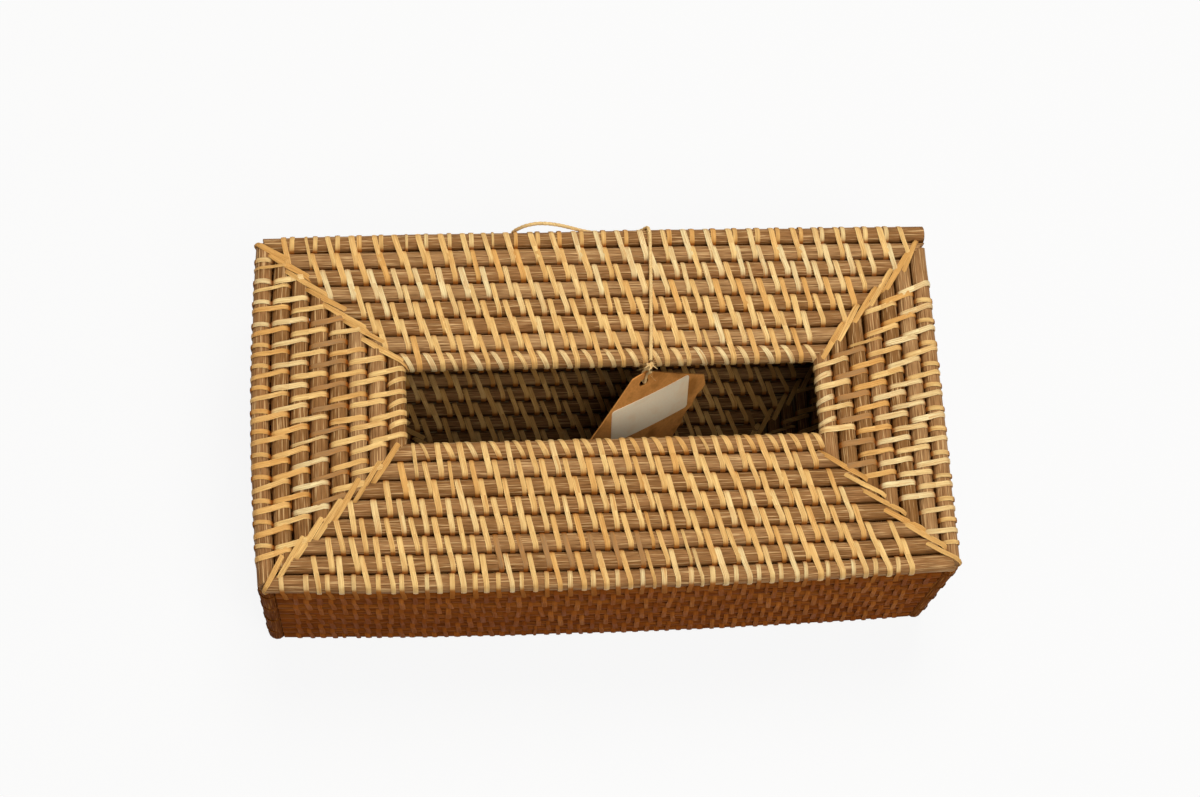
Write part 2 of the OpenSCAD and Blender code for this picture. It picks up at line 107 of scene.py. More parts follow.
# Sizes read off the frame, in metres
front_lo, front_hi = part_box("top_front_canes")
ROWS, COLUMNS_LEFT, COLUMNS_RIGHT, WALL_ROWS, BASE_ROWS = 8, 8, 7, 9, 10
R = (front_hi[2] - front_lo[2]) / 2
PITCH = (front_hi[1] - front_lo[1] - 2 * R) / (ROWS - 1)
TOP = front_lo[2] + R
ROW = -front_hi[1] + R
COLUMN_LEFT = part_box("top_left_canes")[1][0] - R
COLUMN_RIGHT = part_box("top_right_canes")[0][0] + R
post_lo, post_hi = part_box("post_rear_right")
POST_X, POST_Y = (post_lo[0] + post_hi[0]) / 2, (post_lo[1] + post_hi[1]) / 2
WALL_LO, WALL_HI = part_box("front_wall_canes")
WALL_PITCH = (WALL_HI[2] - WALL_LO[2] - 2 * R) / (WALL_ROWS - 1)
WALL_X, WALL_Y = WALL_HI[0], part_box("left_wall_canes")[1][1]
COVER_X, COVER_Y = cad_box[1][0], -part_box("front_wall_lacing")[0][1]
BASE_LO, BASE_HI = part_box("base_front_canes")
BASE_R = (BASE_HI[2] - BASE_LO[2]) / 2
BASE_PITCH = (BASE_HI[1] - BASE_LO[1] - 2 * BASE_R) / (BASE_ROWS - 1)
BASE_Z = BASE_LO[2] + BASE_R
BASE_ROW = -BASE_HI[1] + BASE_R
BASE_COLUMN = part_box("base_right_canes")[0][0] + BASE_R
# The real canes nearly touch each other; the frame's are as much thinner
FULLER, WALL_FULLER, BASE_FULLER = 0.42 * MM, 0.48 * MM, 0.2 * MM
CANE_R, WALL_CANE_R, BASE_CANE_R = R + FULLER, R + WALL_FULLER, BASE_R + BASE_FULLER
X, Y, Z = np.eye(3)

# How far the middle of each side bulges out
BOW_LEFT, BOW_RIGHT, BOW_FRONT, BOW_REAR = 2.5 * MM, 0.2 * MM, 2.8 * MM, 0.6 * MM


def bow(points):
    """The hand-made bulge of the cover's sides, nothing at the slot and at the corners."""
    x, y = points[:, 0], points[:, 1]
    along_x = np.clip(1 - (x / COVER_X) ** 2, 0, 1)
    along_y = np.clip(1 - (y / COVER_Y) ** 2, 0, 1)
    slot_y = ROW - R
    left = np.clip((COLUMN_LEFT + R - x) / (COVER_X + COLUMN_LEFT + R), 0, 1)
    right = np.clip((x - COLUMN_RIGHT + R) / (COVER_X - COLUMN_RIGHT + R), 0, 1)
    front = np.clip((-slot_y - y) / (COVER_Y - slot_y), 0, 1)
    rear = np.clip((y - slot_y) / (COVER_Y - slot_y), 0, 1)
    bowed = points.copy()
    bowed[:, 0] += along_y * (BOW_RIGHT * right - BOW_LEFT * left)
    bowed[:, 1] += along_x * (BOW_REAR * rear - BOW_FRONT * front)
    return bowed


def activate(obj):
    """Selects one object alone and makes it the active one."""
    bpy.ops.object.select_all(action="DESELECT")
    obj.select_set(True)
    bpy.context.view_layer.objects.active = obj


# Patterns: a core cane and the strips of peel, each modelled once and then copied
def choose(obj, kind, test):
    """Selects, in edit mode, the vertices, edges or faces for which test holds."""
    bpy.ops.mesh.select_all(action="DESELECT")
    bpy.ops.mesh.select_mode(type={"verts": "VERT", "edges": "EDGE", "faces": "FACE"}[kind])
    mesh = bmesh.from_edit_mesh(obj.data)
    for part in getattr(mesh, kind):
        if test(part):
            part.select_set(True)
    mesh.select_flush_mode()
    bmesh.update_edit_mesh(obj.data)


class Pattern:
    """The finished mesh of one repeated shape, as arrays. Each corner of a face has a place
    on a map: along the shape and round it, both from 0 to 1."""

    def __init__(self, obj, map_of):
        bpy.ops.object.mode_set(mode="OBJECT")
        mesh = obj.data
        self.points = np.array([v.co[:] for v in mesh.vertices])
        self.faces = [list(p.vertices) for p in mesh.polygons]
        at = map_of(self.points)
        corners = []
        for face in self.faces:
            spot = at[face]
            for axis in (0, 1):
                if np.ptp(spot[:, axis]) > 0.5:
                    spot[:, axis] += spot[:, axis] < 0.5
            corners.append(spot)
        self.map = np.concatenate(corners)
        stops = np.cumsum([0] + [len(f) for f in self.faces])
        self.backward = np.concatenate([np.arange(a, b)[::-1] for a, b in zip(stops, stops[1:])])
        self.end = np.array([abs(p.normal.x) > 0.9 for p in mesh.polygons])
        bpy.data.objects.remove(obj)


CM_IN_M = 100
CANE_SIDES, CANE_RINGS, CANE_RIM, CANE_DOME = 14, 40, 0.13, 1.16
# A cane's map ends here along it, so that no face of the shaft seems to cross the map's seam
MAP_END = 0.49
STRIP_TURNS, STRIP_SIDES = 12, 5
STRIP_W, STRIP_RISE, STRIP_SEAT = 2.35 * MM, 0.28 * MM, 0.16 * MM
STRIP_SAG, STRIP_SHOULDER = 0.88, 0.5
SHARP = math.radians(55)


def core_cane_pattern():
    """A cane one unit long and one unit in radius along X, with worn rims at its cut ends."""
    bpy.ops.mesh.primitive_cylinder_add(
        vertices=CANE_SIDES, radius=1, depth=1, location=(0.5, 0, 0), rotation=(0, math.pi / 2, 0)
    )
    cane = bpy.context.object
    bpy.ops.object.transform_apply()
    bpy.ops.object.mode_set(mode="EDIT")
    choose(cane, "edges", lambda e: abs(e.verts[0].co.x - e.verts[1].co.x) > 0.5)
    bpy.ops.mesh.subdivide(number_cuts=CANE_RINGS)
    choose(cane, "faces", lambda f: abs(f.normal.x) > 0.9)
    bpy.ops.mesh.inset(thickness=CANE_RIM)
    bpy.ops.transform.resize(value=(CANE_DOME, 1, 1), center_override=(0.5, 0, 0))

    def map_of(p):
        around = np.arctan2(p[:, 1], p[:, 2]) / (2 * math.pi) + 0.5
        return np.stack([np.clip(p[:, 0], 0, 1) * MAP_END, around], -1)

    return Pattern(cane, map_of)


def strip_pattern(span, radius):
    """A strip of peel round two canes that lie along X, span apart in Y, or round one if
    span is 0: a flattened ring drawn out over both canes, sunk a little between them."""
    ring = radius + STRIP_SEAT
    bpy.ops.mesh.primitive_torus_add(
        major_segments=STRIP_TURNS,
        minor_segments=STRIP_SIDES,
        major_radius=ring,
        minor_radius=STRIP_RISE,
        rotation=(math.pi / 2, math.pi / STRIP_TURNS, math.pi / 2),
    )
    strip = bpy.context.object
    bpy.ops.object.transform_apply()
    bpy.ops.object.mode_set(mode="EDIT")
    bpy.ops.transform.resize(value=(STRIP_W / (1.9 * STRIP_RISE), 1, 1), center_override=(0, 0, 0))
    choose(strip, "verts", lambda v: abs(v.co.x) > 0.45 * STRIP_W)
    lift = (ring + STRIP_SHOULDER * STRIP_RISE) / (ring + 0.31 * STRIP_RISE)
    bpy.ops.transform.resize(value=(1, lift, lift), center_override=(0, 0, 0))
    if span:
        choose(strip, "verts", lambda v: v.co.y > 0)
        bpy.ops.transform.translate(value=(0, span, 0))
        choose(strip, "edges", lambda e: abs(e.verts[0].co.y - e.verts[1].co.y) > 0.9 * span)
        bpy.ops.mesh.subdivide(number_cuts=1)
        choose(strip, "verts", lambda v: abs(v.co.y - span / 2) < 0.1 * span)
        bpy.ops.transform.resize(value=(1, 1, STRIP_SAG), center_override=(0, span / 2, 0))
    total = 2 * (span + math.pi * ring)

    def map_of(p):
        x, y, z = p.T
        far = span + ring * np.arctan2(y - span, z)
        near = -ring * np.arctan2(-y, z)
        flat = np.where(z > 0, y, span + math.pi * ring + span - y)
        along = np.where(y > span, far, np.where(y < 0, near, flat))
        reach = np.where(y > span, np.hypot(y - span, z), np.where(y < 0, np.hypot(y, z), np.abs(z)))
        under = reach < (ring - 0.3 * STRIP_RISE) * np.where((y < 0) | (y > span), 1, STRIP_SAG)
        across = np.where(under, 0.75 - 0.2 * x / STRIP_W, 0.25 + 0.5 * x / STRIP_W)
        return np.stack([(along / total) % 1, across], -1)

    return Pattern(strip, map_of)


CANE = core_cane_pattern()
PAIR = strip_pattern(PITCH, CANE_R)
WALL_PAIR = strip_pattern(WALL_PITCH, WALL_CANE_R)
BASE_PAIR = strip_pattern(BASE_PITCH, BASE_CANE_R)
WRAP = strip_pattern(0, CANE_R)


class Side:
    """A side of the weave: where its first cane lies, the way the canes run, the way the
    next ones follow, and the way that the side faces."""

    def __init__(self, origin, run, follow, face):
        self.origin = np.array(origin, dtype=float)
        self.axes = np.array([run, follow, face], dtype=float)
        self.mirrored = np.linalg.det(self.axes) < 0

    def place(self, s, t, h):
        return self.origin + np.stack([s, t, h], -1) @ self.axes


FRONT = Side((0, -ROW, TOP), X, -Y, Z)
REAR = Side((0, ROW, TOP), X, Y, Z)
LEFT = Side((COLUMN_LEFT, 0, TOP), Y, -X, Z)
RIGHT = Side((COLUMN_RIGHT, 0, TOP), Y, X, Z)
WALLS = {
    # side, half its length, then for its lacing the lean, and in mm the pitch and the first start
    "front_wall": (Side((0, -POST_Y, TOP), X, -Z, -Y), WALL_X, 0.07, 9.40, 1.6),
    "rear_wall": (Side((0, POST_Y, TOP), X, -Z, Y), WALL_X, -0.07, 9.22, 3.3),
    "left_wall": (Side((-POST_X, 0, TOP), Y, -Z, -X), WALL_Y, -0.07, 9.40, 7.9),
    "right_wall": (Side((POST_X, 0, TOP), Y, -Z, X), WALL_Y, 0.07, 9.60, 3.3),
}
BASE = {
    # side, half its first cane's length, and the lean of its lacing
    "base_front": (Side((0, -BASE_ROW, BASE_Z), X, -Y, Z), BASE_COLUMN, 0.3),
    "base_rear": (Side((0, BASE_ROW, BASE_Z), X, Y, Z), BASE_COLUMN, -0.3),
    "base_left": (Side((-BASE_COLUMN, 0, BASE_Z), Y, -X, Z), BASE_ROW, -0.25),
    "base_right": (Side((BASE_COLUMN, 0, BASE_Z), Y, X, Z), BASE_ROW, 0.25),
}
DIAGONAL = math.sqrt(2)


def post_side(sx, sy):
    """The side of a corner post, to the right for sx 1 and at the rear for sy 1."""
    out = np.array([sx, sy, 0]) / DIAGONAL
    return Side((sx * POST_X, sy * POST_Y, 0), Z, np.cross(out, Z), out)


def mitre_side(start, sx, sy):
    """The side whose strips follow each other outwards along a mitre."""
    out = np.array([sx, sy, 0]) / DIAGONAL
    return Side(start, np.cross(out, Z), out, Z)


# Natural cane: its waves, how much its thickness varies, and how far it strays sideways and up
WAVE_LENGTHS, WAVE_SHARES = ((13, 5, 2), (20, 8, 3)), (0.6, 0.35, 0.2)
CANE_VARIES, CANE_STRAYS, CANE_LIFTS = 0.012, 0.14 * MM, 0.1 * MM
# The outermost canes are cut blunt at the corners, to this share of a full mitre
BLUNT = 0.25
# Peel: the spread of its widths, a few slivers, the spread of places and leans, and the bend of
# a stitch, steepest between its two canes
WIDTHS, SLIVER_SHARE, SLIVER_WIDTH = (0.84, 1.1), 0.03, 0.6
PLACE_SPREAD, LEAN_SPREAD, HEIGHTS = 0.22 * MM, 0.03, (1, 1.025)
BEND_MIDDLE, BEND_LESS = 1.28, 0.4
# Lengths of peel: stitches in each, the spread of tones, and the share that is dull
LENGTHS, TONES, TONE_SPREAD, TONE_LEAST = (5, 16), (0.12, 0.95), 0.12, 0.06
DULL_SHARE = 0.045


def waves(line, size):
    """An irregular smooth line of about that size, for the unevenness of natural cane."""
    turn = rng.uniform(0, 2 * math.pi, 3)
    length = rng.uniform(*WAVE_LENGTHS) * MM
    return size * sum(a * np.sin(line / b + c) for a, b, c in zip(WAVE_SHARES, length, turn))


class Weave:
    """Copies of the patterns that stand for one node of the frame, joined in one mesh."""

    def __init__(self):
        self.points, self.faces, self.map, self.tone, self.deep, self.paint = [], [], [], [], [], []
        self.count = 0

    def add(self, pattern, side, points, uv, deep, tone, paint=0):
        turned = np.array([v for f in pattern.faces for v in f]) + self.count
        if side.mirrored:
            turned, uv = turned[pattern.backward], uv[pattern.backward]
        stops = np.cumsum([len(f) for f in pattern.faces])[:-1]
        self.faces += [f.tolist() for f in np.split(turned, stops)]
        self.count += len(points)
        self.points.append(points)
        self.map.append(uv)
        self.tone.append(np.full(len(points), tone))
        self.deep.append(np.clip(deep, 0, 1))
        self.paint.append(np.where(pattern.end, 1, paint))

    def cane(self, side, t, start, stop, mitre=(0, 0), radius=CANE_R, near=0, far=0):
        """A core cane t away from the side's first one, from start to stop along the side;
        mitre says how far each end moves on for each step outwards, near and far whether
        its inner and outer flanks are open to view."""
        p = CANE.points
        shaft = np.clip(p[:, 0], 0, 1)
        slant = p[:, 1] * np.where(p[:, 1] > 0, BLUNT if far else 1, 1) * radius
        low = start + mitre[0] * slant
        high = stop + mitre[1] * slant
        line = start + shaft * (stop - start)
        fat = radius * (1 + waves(line, CANE_VARIES))
        s = low + shaft * (high - low) + (p[:, 0] - shaft) * radius
        c = t + p[:, 1] * fat + waves(line, CANE_STRAYS)
        h = p[:, 2] * fat + waves(line, CANE_LIFTS)
        size = np.array([(stop - start) / MAP_END, 2 * math.pi * radius]) * CM_IN_M
        uv = CANE.map * size + rng.uniform(0, 60, 2)
        # Depth for the painted shade: points that turn away from the open faces into the gaps are
        # darkened
        face = np.maximum(p[:, 2], np.maximum(-near * p[:, 1], far * p[:, 1]))
        self.add(CANE, side, side.place(s, c, h), uv, 1 - face, rng.uniform())

    def strip(self, pattern, side, at, t, lean, tone, span=PITCH, radius=CANE_R, width=1.0,
              stretch=1.0, narrowing=0.1, near=0, far=0, front=1, paint=0):
        """A strip of peel at a place along the side, round the canes from t on. lean is how
        far it moves along the canes for each step across them, most of it between the canes.
        near, far and front say which of its flanks and its face are open to view."""
        x, y, z = pattern.points.T
        half = span / 2 + radius
        over = y - span / 2
        bend = over * (BEND_MIDDLE - BEND_LESS * (over / half) ** 2) if span else over
        wide = width * rng.uniform(*WIDTHS) * (SLIVER_WIDTH if rng.uniform() < SLIVER_SHARE else 1)
        wide = wide * (1 - narrowing * (over / half) ** 2)
        s = at + rng.normal(0, PLACE_SPREAD) + x * wide + bend * (lean + rng.normal(0, LEAN_SPREAD))
        c = t + (span / 2 + over) * stretch
        h = np.where(z > 0, z * rng.uniform(*HEIGHTS), z)
        uv = pattern.map * np.array([2 * (span + math.pi * radius) * CM_IN_M, 2])
        uv[:, 0] += rng.uniform(0, 90)
        # Depth for the painted shade: points that turn away from the open faces into the gaps are
        # darkened
        face = np.maximum(front * z, np.maximum(-near * y, far * (y - span)))
        self.add(pattern, side, side.place(s, c, h), uv, 1 - face / radius, tone, paint)

    def row(self, pattern, side, t, low, high, phase, pitch, lean, dull=DULL_SHARE, **how):
        """Strips along the side wherever the phase falls between low and high, leaning by
        lean[0] and by lean[1] more for each metre. One length of peel makes several stitches,
        so its tone holds for a while; dull is the share of lengths with the dull tone 0."""
        at = phase + math.ceil((low - phase) / pitch) * pitch
        left = 0
        while at <= high:
            if left == 0:
                left = rng.integers(*LENGTHS)
                run = rng.uniform(*TONES) if rng.uniform() > dull else 0.0
            tone = run if run == 0 else float(np.clip(run + rng.normal(0, TONE_SPREAD), TONE_LEAST, 1))
            self.strip(pattern, side, at, t, lean[0] + lean[1] * at, tone, **how)
            at += pitch
            left -= 1

    def build(self, node, body, materials, bowed=True):
        points = np.concatenate(self.points)
        if bowed:
            points = bow(points)
        points[:, 2] = np.maximum(points[:, 2], 0)
        name = "woven_" + node
        mesh = bpy.data.meshes.new(name)
        mesh.from_pydata(points.tolist(), [], self.faces)
        mesh.uv_layers.new(name="grain").data.foreach_set("uv", np.concatenate(self.map).ravel())
        for label, parts in (("tone", self.tone), ("deep", self.deep)):
            values = mesh.attributes.new(label, "FLOAT", "POINT")
            values.data.foreach_set("value", np.concatenate(parts))
        for material in materials:
            mesh.materials.append(material)
        mesh.polygons.foreach_set("material_index", np.concatenate(self.paint).astype(np.int32))
        obj = bpy.data.objects.new(name, mesh)
        bpy.context.collection.objects.link(obj)
        activate(obj)
        bpy.ops.object.shade_smooth_by_angle(angle=SHARP)
        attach(obj, body)
        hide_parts(node)
        return obj


# Materials
def feed(tree, node, inputs):
    """Gives a node's inputs their values or links."""
    for key, value in inputs.items():
        if isinstance(value, bpy.types.NodeSocket):
            tree.links.new(value, node.inputs[key])
        else:
            node.inputs[key].default_value = value


def wire(tree, kind, inputs=None, **settings):
    """Adds a shader node with its settings, and values or links for its inputs."""
    node = tree.nodes.new("ShaderNode" + kind)
    for key, value in settings.items():
        setattr(node, key, value)
    feed(tree, node, inputs or {})
    return node


def group(name, ins, outs):
    """An empty node group with its sockets: the tree, what comes in and what goes out."""
    tree = bpy.data.node_groups.new(name, "ShaderNodeTree")
    for label, kind, value in ins:
        socket = tree.interface.new_socket(label, in_out="INPUT", socket_type="NodeSocket" + kind)
        socket.default_value = value
    for label, kind in outs:
        tree.interface.new_socket(label, in_out="OUTPUT", socket_type="NodeSocket" + kind)
    return tree, tree.nodes.new("NodeGroupInput").outputs, tree.nodes.new("NodeGroupOutput").inputs


def use(tree, grouped, inputs):
    """Adds a node group, and gives its outputs."""
    return wire(tree, "Group", inputs, node_tree=grouped).outputs


def shade(red, green, blue):
    """A colour from its 0 to 255 values on screen."""
    parts = [v / 255 for v in (red, green, blue)]
    return (*[((v + 0.055) / 1.055) ** 2.4 if v > 0.04 else v / 12.92 for v in parts], 1)


def mix(tree, share, first, second):
    return wire(tree, "Mix", {0: share, 6: first, 7: second}, data_type="RGBA").outputs[2]


def maths(tree, operation, *values):
    return wire(tree, "Math", dict(enumerate(values)), operation=operation).outputs[0]


def remap(tree, value, low, high, to_low=0.0, to_high=1.0):
    node = wire(tree, "MapRange", {0: value, 1: low, 2: high, 3: to_low, 4: to_high}, clamp=True)
    return node.outputs[0]


def noise(tree, vector, scale, detail, **settings):
    inputs = {"Vector": vector, "Scale": scale, "Detail": detail}
    return wire(tree, "TexNoise", inputs, **settings).outputs[0]


def grain_group():
    """Long fine fibres and soft clouds that follow the piece's own map."""
    tree, come, go = group(
        "fibre_grain",
        [("Fibres per cm", "Float", 14), ("Stretch", "Float", 0.1)],
        [("Fibres", "Float"), ("Pores", "Float"), ("Clouds", "Float")],
    )
    uv = wire(tree, "UVMap", uv_map="grain").outputs[0]
    parts = wire(tree, "SeparateXYZ", {0: uv}).outputs
    slow = maths(tree, "MULTIPLY", maths(tree, "MULTIPLY", parts[0], come[0]), come[1])
    fast = maths(tree, "MULTIPLY", parts[1], come[0])
    at = wire(tree, "CombineXYZ", {0: slow, 1: fast}).outputs[0]
    fibres = noise(tree, at, 1, 3, noise_dimensions="2D")
    tree.links.new(remap(tree, fibres, 0.32, 0.68), go[0])
    pores = noise(tree, at, 2.3, 1, noise_dimensions="2D")
    tree.links.new(remap(tree, pores, 0.62, 0.74), go[1])
    clouds = noise(tree, uv, 1.1, 2, noise_dimensions="2D")
    tree.links.new(remap(tree, clouds, 0.3, 0.7), go[2])
    return tree


def tone_group():
    """The difference from piece to piece, between two colours, with a dull one for tone 0."""
    tree, come, go = group(
        "piece_tone",
        [("Common", "Color", (1, 1, 1, 1)), ("Dark", "Color", (0, 0, 0, 1)),
         ("Pale", "Color", (1, 1, 1, 1)), ("Share", "Float", 0.5), ("Dull", "Color", (0, 0, 0, 1))],
        [("Color", "Color")],
    )
    tone = wire(tree, "Attribute", attribute_name="tone").outputs["Fac"]
    dark = maths(tree, "MULTIPLY", remap(tree, tone, 0.45, 0.05), come[3])
    pale = maths(tree, "MULTIPLY", remap(tree, tone, 0.6, 1.0), come[3])
    colour = mix(tree, pale, mix(tree, dark, come[0], come[1]), come[2])
    dull = remap(tree, tone, 0.04, 0.02)
    tree.links.new(mix(tree, dull, colour, come[4]), go[0])
    return tree


def recess_shade_group():
    """Painted shade, partly stain, that darkens a piece where it turns down into the gap beside it; it
    also gives how deep the piece turns there.
    """
    tree, come, go = group(
        "recess_stain_and_shade",
        [("Color", "Color", (1, 1, 1, 1)), ("Stain and shade", "Color", (0, 0, 0, 1)), ("Amount", "Float", 0.8),
         ("Starts", "Float", 0.2), ("Full", "Float", 1.0)],
        [("Color", "Color"), ("Depth", "Float")],
    )
    deep = wire(tree, "Attribute", attribute_name="deep").outputs["Fac"]
    ramp = {0: deep, 1: come[3], 2: come[4]}
    depth = wire(tree, "MapRange", ramp, clamp=True, interpolation_type="SMOOTHSTEP").outputs[0]
    tree.links.new(mix(tree, maths(tree, "MULTIPLY", depth, come[2]), come[0], come[1]), go[0])
    tree.links.new(depth, go[1])
    return tree


GRAIN, TONE, RECESS_SHADE = grain_group(), tone_group(), recess_shade_group()


def finish_material(name, tree_of):
    """A material with one shader; tree_of says what feeds it and gives its plain values."""
    material = bpy.data.materials.new(name)
    material.use_nodes = True
    tree = material.node_tree
    feed(tree, tree.nodes["Principled BSDF"], tree_of(tree))
    return material


def bump(tree, height, distance):
    return wire(tree, "Bump", {"Height": height, "Distance": distance, "Strength": 1.0}).outputs[0]


def cane_material(name, common, dark, pale, stain_and_shade, streak, gloss, shine):
    """Stained core cane: fine dark pores and pale hair lines along it."""

    def tree_of(tree):
        fibres, pores, clouds = use(tree, GRAIN, {"Fibres per cm": 17, "Stretch": 0.035})
        body = use(tree, TONE, {
            "Common": common, "Dark": dark, "Pale": pale, "Share": 0.8, "Dull": dark})[0]
        body = mix(tree, maths(tree, "MULTIPLY", clouds, 0.4), body, dark)
        body = mix(tree, remap(tree, fibres, 0.7, 1.0, 0, 0.75), body, streak)
        body = mix(tree, remap(tree, fibres, 0.35, 0.0, 0, 0.55), body, stain_and_shade)
        # Painted shade, partly stain, where the cane turns down into the gaps, with less shine there
        colour, depth = use(tree, RECESS_SHADE, {
            "Color": body, "Stain and shade": stain_and_shade, "Amount": 0.75, "Starts": 0.3})
        return {
            "Base Color": colour,
            "Roughness": remap(tree, fibres, 0, 1, gloss + 0.15, gloss),
            "Specular IOR Level": remap(tree, depth, 0, 0.5, shine, 0),
            "Normal": bump(tree, maths(tree, "SUBTRACT", fibres, pores), 0.00016),
        }

    return finish_material(name, tree_of)


def peel_material(name, common, dark, pale, stain_and_shade, streak, dull, gloss, shine):
    """Glossy strips of peel: straight fibres, darker at the turns with painted shade and some stain, so
    paler along the crown.
    """

    def tree_of(tree):
        fibres, pores, clouds = use(tree, GRAIN, {"Fibres per cm": 11, "Stretch": 0.03})
        body = use(tree, TONE, {
            "Common": common, "Dark": dark, "Pale": pale, "Share": 0.85, "Dull": dull})[0]
        body = mix(tree, remap(tree, fibres, 0.5, 0.0, 0, 0.8), body, streak)
        body = mix(tree, maths(tree, "MULTIPLY", clouds, 0.4), body, streak)
        # Painted shade, partly stain, where the strip turns down into the gaps, with less shine there
        colour, depth = use(tree, RECESS_SHADE, {
            "Color": body, "Stain and shade": stain_and_shade, "Amount": 0.85, "Starts": 0.06, "Full": 0.6})
        return {
            "Base Color": colour,
            "Roughness": remap(tree, clouds, 0, 1, gloss, gloss + 0.15),
            "Specular IOR Level": remap(tree, depth, 0, 0.5, shine, 0),
            "Normal": bump(tree, fibres, 0.00015),
        }

    return finish_material(name, tree_of)


def end_grain_material(name, rim, heart):
    """The cut end of a core cane, dotted with open vessels."""

    def tree_of(tree):
        at = wire(tree, "TexCoord").outputs["Object"]
        cells = wire(tree, "TexVoronoi", {"Vector": at, "Scale": 2600.0}).outputs["Distance"]
        spots = noise(tree, at, 700.0, 2)
        body = mix(tree, remap(tree, cells, 0.15, 0.45), rim, heart)
        body = mix(tree, remap(tree, spots, 0.45, 0.7, 0, 0.5), body, rim)
        return {"Base Color": body, "Roughness": 0.8, "Normal": bump(tree, cells, 0.0001)}

    return finish_material(name, tree_of)


MATT = {"Roughness": 0.85, "Specular IOR Level": 0.2}


def card_material(name, common, dark, worn):
    """Kraft card: fibres every way, darker worn patches."""

    def tree_of(tree):
        at = wire(tree, "TexCoord").outputs["Object"]
        felt = noise(tree, at, 900.0, 4)
        patch = noise(tree, at, 90.0, 3)
        body = mix(tree, remap(tree, felt, 0.35, 0.7, 0, 0.5), common, dark)
        body = mix(tree, remap(tree, patch, 0.5, 0.68, 0, 0.7), body, worn)
        return {"Base Color": body, **MATT, "Normal": bump(tree, felt, 0.0001)}

    return finish_material(name, tree_of)


def twine_material(name, common, dark):
    """Twisted natural twine with loose fibres."""

    def tree_of(tree):
        fibres, pores, clouds = use(tree, GRAIN, {"Fibres per cm": 40, "Stretch": 0.15})
        body = mix(tree, remap(tree, fibres, 0.2, 0.8, 0, 0.6), common, dark)
        body = mix(tree, maths(tree, "MULTIPLY", pores, 0.4), body, dark)
        return {"Base Color": body, **MATT, "Normal": bump(tree, fibres, 0.00015)}

    return finish_material(name, tree_of)


# Finishes: common, dark and pale tone, stain and painted shade, and streak, for peel its dull tone,
# gloss and shine
CANE_FINISH = cane_material(
    "stained_cane", shade(160, 114, 68), shade(130, 88, 42), shade(184, 142, 94), shade(82, 42, 2),
    shade(218, 178, 124), 0.5, 0.16)
PEEL_FINISH = peel_material(
    "golden_peel", shade(255, 216, 142), shade(236, 176, 94), shade(255, 238, 184), shade(172, 92, 20),
    shade(198, 134, 62), shade(162, 124, 80), 0.42, 0.3)
# The base's cane and peel are darker copies of the top's: painted shade, for the inside of the box where
# little light falls
BASE_CANE_FINISH = cane_material(
    "shaded_cane", shade(132, 92, 54), shade(108, 72, 38), shade(156, 116, 72), shade(64, 34, 8),
    shade(176, 138, 90), 0.6, 0.05)
BASE_PEEL_FINISH = peel_material(
    "shaded_peel", shade(214, 166, 96), shade(190, 136, 68), shade(228, 188, 122), shade(150, 82, 22),
    shade(160, 106, 48), shade(140, 104, 62), 0.5, 0.1)
MITRE_FINISH = peel_material(
    "worn_peel", shade(248, 202, 126), shade(222, 164, 88), shade(255, 220, 152), shade(160, 90, 26),
    shade(182, 122, 56), shade(162, 124, 80), 0.5, 0.2)
# The walls' cane and peel are darker, redder copies of the top's: painted shade, as the walls face away
# from the light
SHADED_WALL_CANE_FINISH = cane_material(
    "shaded_wall_cane", shade(132, 68, 15), shade(107, 51, 8), shade(152, 87, 26), shade(62, 26, 2),
    shade(160, 94, 34), 0.65, 0.06)
SHADED_WALL_PEEL_FINISH = peel_material(
    "shaded_wall_peel", shade(172, 98, 34), shade(140, 72, 20), shade(198, 124, 54), shade(96, 42, 6),
    shade(130, 66, 18), shade(140, 72, 20), 0.6, 0.06)
# The corner posts' cane and peel are dark copies of the top's: painted shade, so that the wraps hardly
# show against the posts
SHADED_POST_CANE_FINISH = cane_material(
    "shaded_post_cane", shade(130, 72, 16), shade(106, 54, 10), shade(150, 92, 30), shade(66, 30, 2),
    shade(166, 110, 46), 0.65, 0.03)
SHADED_POST_PEEL_FINISH = peel_material(
    "shaded_post_peel", shade(140, 80, 20), shade(124, 68, 16), shade(156, 96, 34), shade(84, 40, 6),
    shade(116, 62, 12), shade(130, 74, 18), 0.65, 0.03)
END_GRAIN = end_grain_material("cane_end_grain", shade(96, 60, 30), shade(176, 132, 84))
CARD_FINISH = card_material(
    "kraft_card", shade(222, 152, 78), shade(190, 122, 56), shade(152, 94, 34))
STICKER_FINISH = card_material(
    "blank_sticker_paper", shade(255, 238, 206), shade(255, 228, 190), shade(248, 216, 172))
TWINE_FINISH = twine_material("natural_twine", shade(255, 222, 158), shade(222, 168, 98))

# Canes of the top: nested rows in front of and behind the slot, columns at its ends
CANES = [CANE_FINISH, END_GRAIN]
LAST_ROW = ROWS - 1
